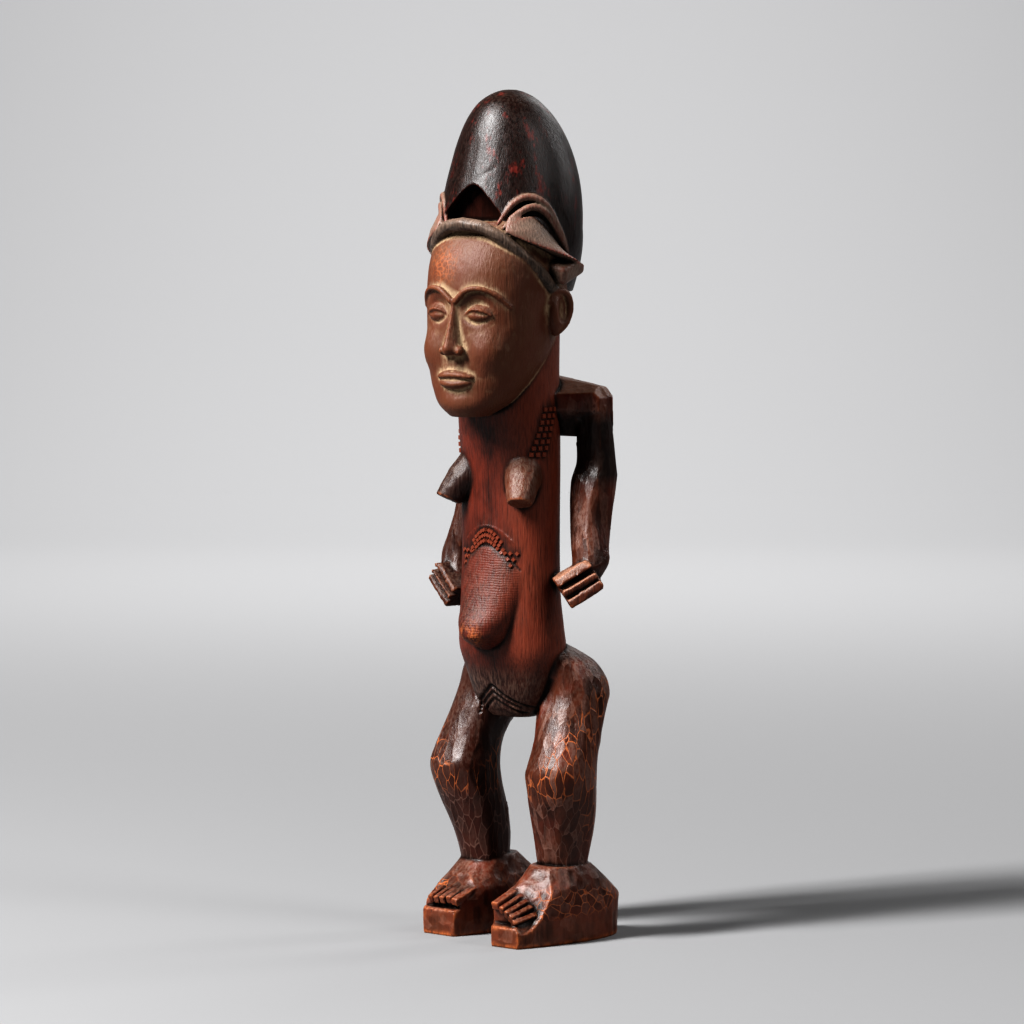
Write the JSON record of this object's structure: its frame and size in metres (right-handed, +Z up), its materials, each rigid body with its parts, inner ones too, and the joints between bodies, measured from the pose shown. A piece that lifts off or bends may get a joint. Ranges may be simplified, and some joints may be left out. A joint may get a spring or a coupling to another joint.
{
  "type": "punu figure",
  "caption": "Carved wooden standing female figure of Punu type with a tall domed coiffure, hands at the flanks, on bare flat-soled feet.",
  "frame": {"origin": "on the floor under the middle of the figure's outer bounds", "axes": "+Z up along the standing figure, -Y the way it faces, +X its own left"},
  "size_m": [0.0986, 0.0951, 0.38],
  "materials": {
    "wood": "satin"
  },
  "bodies": {
    "root": {"punu_figure": "wood"}
  },
  "joints": []
}
